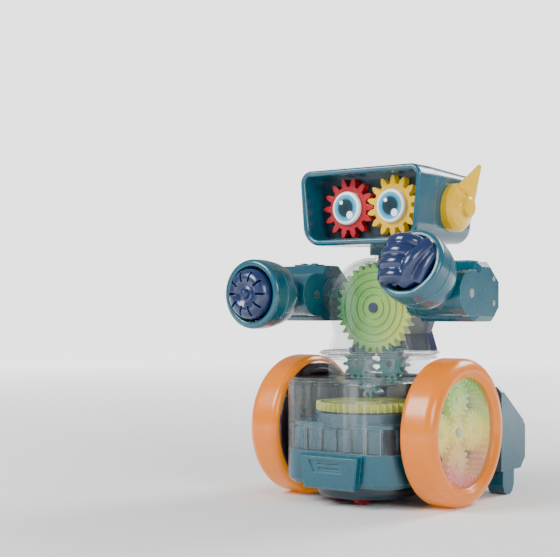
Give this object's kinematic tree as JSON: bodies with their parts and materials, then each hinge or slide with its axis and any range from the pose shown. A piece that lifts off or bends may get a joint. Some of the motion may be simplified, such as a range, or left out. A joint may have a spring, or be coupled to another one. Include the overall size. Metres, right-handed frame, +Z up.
{
  "type": "toy robot",
  "caption": "Walking toy robot with a visor head, meshed eye gears, jointed arms, a clear gear-filled chest and base, big planetary wheels and a swivelling drive unit.",
  "frame": {"origin": "middle of the footprint at the level of the surface it stands on", "axes": "+Z up, front of the robot faces -Y, +X is the robot's left side"},
  "size_m": [0.149, 0.1444, 0.1998],
  "materials": {
    "teal_plastic": "gloss",
    "dark_teal": "satin",
    "blue_plastic": "gloss",
    "orange_plastic": "gloss",
    "yellow_plastic": "gloss",
    "red_plastic": "gloss",
    "lime_plastic": "gloss",
    "green_blue_plastic": "gloss",
    "clear_plastic": "clear",
    "dark_plastic": "satin",
    "eye_print": "gloss",
    "steel": "polished",
    "board_green": "matte",
    "motor_body": "matte"
  },
  "bodies": {
    "chassis": {"base_tray": "teal_plastic", "grille_insert": "teal_plastic", "front_cowl": "clear_plastic", "gear_deck": "teal_plastic", "waist_deck": "clear_plastic", "chassis_screws": "steel", "torso_front_shell": "clear_plastic", "torso_back_cover": "blue_plastic", "wheel_axle": "steel", "planet_carriers": "lime_plastic", "gear_motor": "motor_body", "circuit_board": "board_green", "rear_housing": "teal_plastic", "battery_cells": "steel", "battery_contacts": "dark_plastic", "rear_feet": "teal_plastic"},
    "turntable": {"turntable_disc": "dark_teal", "crown_gear": "lime_plastic"},
    "drive_roller": {"drive_wheels": "red_plastic", "drive_axle": "steel"},
    "steer_pinion": {"steer_pinion": "green_blue_plastic"},
    "battery_door": {"battery_door": "teal_plastic"},
    "switch_knob": {"power_switch_knob": "dark_plastic"},
    "torso_gear": {"torso_gear": "lime_plastic"},
    "waist_gear_left": {"waist_gear_left": "green_blue_plastic"},
    "waist_gear_right": {"waist_gear_right": "green_blue_plastic"},
    "motor_pinion": {"motor_pinion": "green_blue_plastic"},
    "head": {"visor_bezel": "teal_plastic", "head_upper_shell": "teal_plastic", "head_lower_shell": "teal_plastic", "eye_panel": "dark_teal", "eye_discs": "eye_print", "left_ear": "yellow_plastic", "right_ear": "yellow_plastic"},
    "red_eye_gear": {"red_eye_gear": "red_plastic"},
    "yellow_eye_gear": {"yellow_eye_gear": "yellow_plastic"},
    "left_shoulder": {"left_shoulder_block": "teal_plastic", "left_elbow_pin": "steel"},
    "left_forearm": {"left_forearm_cup": "teal_plastic", "left_fist": "blue_plastic"},
    "left_wheel": {"left_wheel_rim": "orange_plastic", "left_wheel_inner_gear": "dark_plastic", "left_wheel_cover": "clear_plastic"},
    "left_sun": {"left_sun_gear": "lime_plastic"},
    "left_planet_1": {"left_planet_gear_1": "lime_plastic"},
    "left_planet_2": {"left_planet_gear_2": "lime_plastic"},
    "left_planet_3": {"left_planet_gear_3": "lime_plastic"},
    "left_planet_4": {"left_planet_gear_4": "lime_plastic"},
    "right_shoulder": {"right_shoulder_block": "teal_plastic", "right_elbow_pin": "steel"},
    "right_forearm": {"right_forearm_cup": "teal_plastic", "right_nozzle": "blue_plastic"},
    "right_wheel": {"right_wheel_rim": "orange_plastic", "right_wheel_inner_gear": "dark_plastic", "right_wheel_cover": "clear_plastic"},
    "right_sun": {"right_sun_gear": "lime_plastic"},
    "right_planet_1": {"right_planet_gear_1": "lime_plastic"},
    "right_planet_2": {"right_planet_gear_2": "lime_plastic"},
    "right_planet_3": {"right_planet_gear_3": "lime_plastic"},
    "right_planet_4": {"right_planet_gear_4": "lime_plastic"}
  },
  "joints": [
    {"name": "head_turn", "type": "hinge", "parent": "chassis", "child": "head", "pos_m": [0, -0.00059, 0.1451], "axis": [0, 0, 1], "range_deg": [-30, 30]},
    {"name": "red_eye_spin", "type": "hinge", "parent": "head", "child": "red_eye_gear", "pos_m": [-0.01596, -0.02859, 0.1736], "axis": [0, 1, 0], "continuous": true},
    {"name": "yellow_eye_spin", "type": "hinge", "parent": "head", "child": "yellow_eye_gear", "pos_m": [0.01596, -0.02859, 0.1736], "axis": [0, 1, 0], "continuous": true},
    {"name": "left_shoulder_swing", "type": "hinge", "parent": "chassis", "child": "left_shoulder", "pos_m": [0.054, -0.00559, 0.122], "axis": [-1, 0, 0], "range_deg": [-25, 10]},
    {"name": "left_elbow_bend", "type": "hinge", "parent": "left_shoulder", "child": "left_forearm", "pos_m": [0.054, -0.02159, 0.122], "axis": [-1, 0, 0], "range_deg": [-34, 11]},
    {"name": "left_wheel_spin", "type": "hinge", "parent": "chassis", "child": "left_wheel", "pos_m": [0.054, -0.00959, 0.0425], "axis": [1, 0, 0], "continuous": true},
    {"name": "left_sun_spin", "type": "hinge", "parent": "chassis", "child": "left_sun", "pos_m": [0.0541, -0.00959, 0.0425], "axis": [1, 0, 0], "continuous": true},
    {"name": "left_planet_1_spin", "type": "hinge", "parent": "chassis", "child": "left_planet_1", "pos_m": [0.0541, 0.00916, 0.0425], "axis": [1, 0, 0], "continuous": true},
    {"name": "left_planet_2_spin", "type": "hinge", "parent": "chassis", "child": "left_planet_2", "pos_m": [0.0541, -0.00959, 0.06125], "axis": [1, 0, 0], "continuous": true},
    {"name": "left_planet_3_spin", "type": "hinge", "parent": "chassis", "child": "left_planet_3", "pos_m": [0.0541, -0.02834, 0.0425], "axis": [1, 0, 0], "continuous": true},
    {"name": "left_planet_4_spin", "type": "hinge", "parent": "chassis", "child": "left_planet_4", "pos_m": [0.0541, -0.00959, 0.02375], "axis": [1, 0, 0], "continuous": true},
    {"name": "right_shoulder_swing", "type": "hinge", "parent": "chassis", "child": "right_shoulder", "pos_m": [-0.054, -0.00559, 0.122], "axis": [-1, 0, 0], "range_deg": [-25, 10]},
    {"name": "right_elbow_bend", "type": "hinge", "parent": "right_shoulder", "child": "right_forearm", "pos_m": [-0.054, -0.02159, 0.122], "axis": [-1, 0, 0], "range_deg": [-10, 35]},
    {"name": "right_wheel_spin", "type": "hinge", "parent": "chassis", "child": "right_wheel", "pos_m": [-0.054, -0.00959, 0.0425], "axis": [1, 0, 0], "continuous": true},
    {"name": "right_sun_spin", "type": "hinge", "parent": "chassis", "child": "right_sun", "pos_m": [-0.0541, -0.00959, 0.0425], "axis": [1, 0, 0], "continuous": true},
    {"name": "right_planet_1_spin", "type": "hinge", "parent": "chassis", "child": "right_planet_1", "pos_m": [-0.0541, 0.00916, 0.0425], "axis": [1, 0, 0], "continuous": true},
    {"name": "right_planet_2_spin", "type": "hinge", "parent": "chassis", "child": "right_planet_2", "pos_m": [-0.0541, -0.00959, 0.06125], "axis": [1, 0, 0], "continuous": true},
    {"name": "right_planet_3_spin", "type": "hinge", "parent": "chassis", "child": "right_planet_3", "pos_m": [-0.0541, -0.02834, 0.0425], "axis": [1, 0, 0], "continuous": true},
    {"name": "right_planet_4_spin", "type": "hinge", "parent": "chassis", "child": "right_planet_4", "pos_m": [-0.0541, -0.00959, 0.02375], "axis": [1, 0, 0], "continuous": true},
    {"name": "torso_gear_spin", "type": "hinge", "parent": "chassis", "child": "torso_gear", "pos_m": [0, -0.00959, 0.114], "axis": [0, 1, 0], "continuous": true},
    {"name": "waist_gear_left_spin", "type": "hinge", "parent": "chassis", "child": "waist_gear_left", "pos_m": [0.0117, -0.00959, 0.0808], "axis": [0, 1, 0], "continuous": true},
    {"name": "waist_gear_right_spin", "type": "hinge", "parent": "chassis", "child": "waist_gear_right", "pos_m": [-0.0117, -0.00959, 0.0808], "axis": [0, 1, 0], "continuous": true},
    {"name": "motor_pinion_spin", "type": "hinge", "parent": "chassis", "child": "motor_pinion", "pos_m": [-0.003, -0.00959, 0.06737], "axis": [0, 1, 0], "continuous": true},
    {"name": "turntable_steer", "type": "hinge", "parent": "chassis", "child": "turntable", "pos_m": [0, -0.01759, 0.012], "axis": [0, 0, 1], "continuous": true},
    {"name": "steer_pinion_spin", "type": "hinge", "parent": "chassis", "child": "steer_pinion", "pos_m": [0.0233, 0.01018, 0.054], "axis": [0, 0, 1], "continuous": true},
    {"name": "drive_wheels_spin", "type": "hinge", "parent": "turntable", "child": "drive_roller", "pos_m": [-0.00362, -0.03111, 0.0075], "axis": [0.9659, -0.2588, 0], "continuous": true},
    {"name": "power_switch_slide", "type": "slide", "parent": "chassis", "child": "switch_knob", "axis": [1, 0, 0], "range_m": [-0.0025, 0.0025]},
    {"name": "battery_door_off", "type": "slide", "parent": "chassis", "child": "battery_door", "axis": [0, 1, 0], "range_m": [0, 0.032]}
  ],
  "couplings": [
    {"joint": "yellow_eye_spin", "follows": "red_eye_spin", "ratio": -1},
    {"joint": "left_sun_spin", "follows": "left_wheel_spin", "ratio": -4},
    {"joint": "left_planet_1_spin", "follows": "left_wheel_spin", "ratio": 2.6667},
    {"joint": "left_planet_2_spin", "follows": "left_wheel_spin", "ratio": 2.6667},
    {"joint": "left_planet_3_spin", "follows": "left_wheel_spin", "ratio": 2.6667},
    {"joint": "left_planet_4_spin", "follows": "left_wheel_spin", "ratio": 2.6667},
    {"joint": "right_sun_spin", "follows": "right_wheel_spin", "ratio": -4},
    {"joint": "right_planet_1_spin", "follows": "right_wheel_spin", "ratio": 2.6667},
    {"joint": "right_planet_2_spin", "follows": "right_wheel_spin", "ratio": 2.6667},
    {"joint": "right_planet_3_spin", "follows": "right_wheel_spin", "ratio": 2.6667},
    {"joint": "right_planet_4_spin", "follows": "right_wheel_spin", "ratio": 2.6667},
    {"joint": "waist_gear_left_spin", "follows": "torso_gear_spin", "ratio": -2.6667},
    {"joint": "waist_gear_right_spin", "follows": "torso_gear_spin", "ratio": -2.6667},
    {"joint": "motor_pinion_spin", "follows": "torso_gear_spin", "ratio": 4},
    {"joint": "steer_pinion_spin", "follows": "turntable_steer", "ratio": -4.8}
  ]
}
